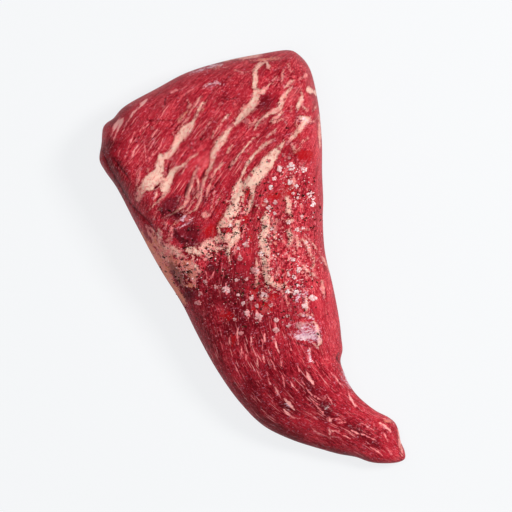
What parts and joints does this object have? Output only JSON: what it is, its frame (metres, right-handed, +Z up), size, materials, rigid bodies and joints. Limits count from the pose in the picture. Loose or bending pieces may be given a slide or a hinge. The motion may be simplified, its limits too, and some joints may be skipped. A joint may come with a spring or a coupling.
{
  "type": "raw beef tri-tip",
  "caption": "Raw tri-tip of beef: a thick tapering slab with a curved narrow tail, marbled with fat and sprinkled with coarse salt and pepper, lying flat.",
  "frame": {"origin": "centre of the bounding box's bottom, on the surface that the meat lies on", "axes": "+Z up, +Y lengthwise from the narrow tail to the broad end, +X to the right seen from above"},
  "size_m": [0.1422, 0.2727, 0.0548],
  "materials": {
    "raw_beef": "wet raw beef with cream fat, satin to glossy"
  },
  "bodies": {
    "root": {"tri_tip": "raw_beef"}
  },
  "joints": []
}
